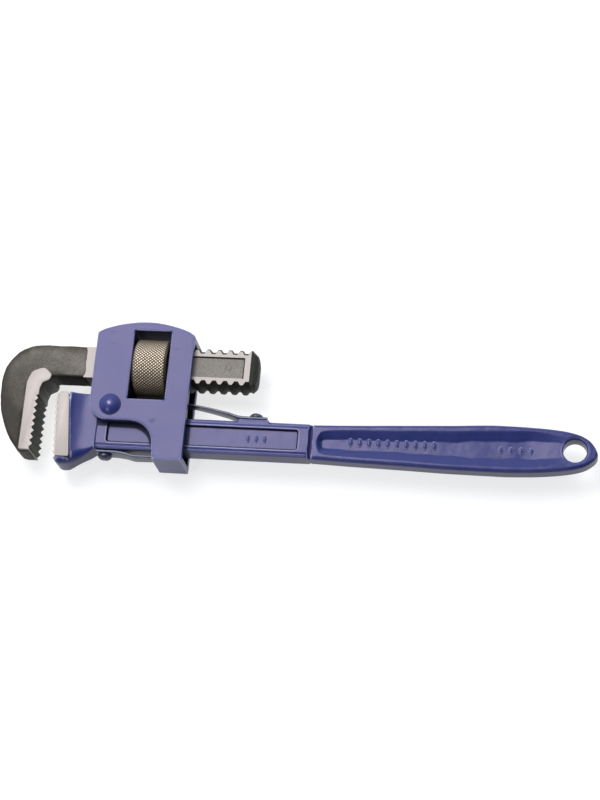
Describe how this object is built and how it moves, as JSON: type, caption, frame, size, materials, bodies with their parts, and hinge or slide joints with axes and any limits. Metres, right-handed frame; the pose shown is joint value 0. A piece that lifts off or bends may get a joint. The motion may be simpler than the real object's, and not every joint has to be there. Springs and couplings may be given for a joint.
{
  "type": "pipe wrench",
  "caption": "Adjustable Stillson-pattern pipe wrench with a forged hook jaw on a threaded shank, a knurled nut in a rocking frame housing, and a long handle with a hanging hole.",
  "frame": {"origin": "middle of the box in plan, at the lowest point, with the wrench lying flat", "axes": "+X along the handle from the hook jaw to the hanging hole, +Y from the handle towards the hook jaw's shank, +Z through the thickness"},
  "size_m": [0.3008, 0.0753, 0.0294],
  "materials": {
    "blue_enamel": "glossy violet-blue enamel over a forging",
    "ground_steel": "bare ground steel",
    "spring_steel": "thin, worn blue-grey paint over spring steel",
    "forged_steel": "dark forging scale with bare ground edges",
    "knurled_steel": "oiled, blackened steel with bright knurl crests"
  },
  "bodies": {
    "handle": {"handle": "blue_enamel", "heel_jaw": "ground_steel", "upper_spring": "spring_steel", "upper_spring_rivet": "spring_steel", "lower_spring": "spring_steel", "lower_spring_rivet": "spring_steel"},
    "frame": {"frame_housing": "blue_enamel", "frame_pin": "blue_enamel"},
    "hook": {"hook_jaw": "forged_steel"},
    "nut": {"adjusting_nut": "knurled_steel"}
  },
  "joints": [
    {"name": "frame_rock", "type": "hinge", "parent": "handle", "child": "frame", "pos_m": [-0.0924, -0.00713, 0.0147], "axis": [0, 0, 1], "range_deg": [-3, 3], "stiffness_Nm_per_rad": 4, "deforming": ["upper_spring", "lower_spring"]},
    {"name": "jaw_slide", "type": "slide", "parent": "frame", "child": "hook", "axis": [-1, 0, 0], "range_m": [-0.008, 0.034]},
    {"name": "nut_spin", "type": "hinge", "parent": "frame", "child": "nut", "pos_m": [-0.074, 0.01637, 0.0147], "axis": [1, 0, 0], "range_deg": [-520, 2190]}
  ],
  "couplings": [
    {"joint": "nut_spin", "follows": "jaw_slide", "rad_per_m": 1122}
  ]
}
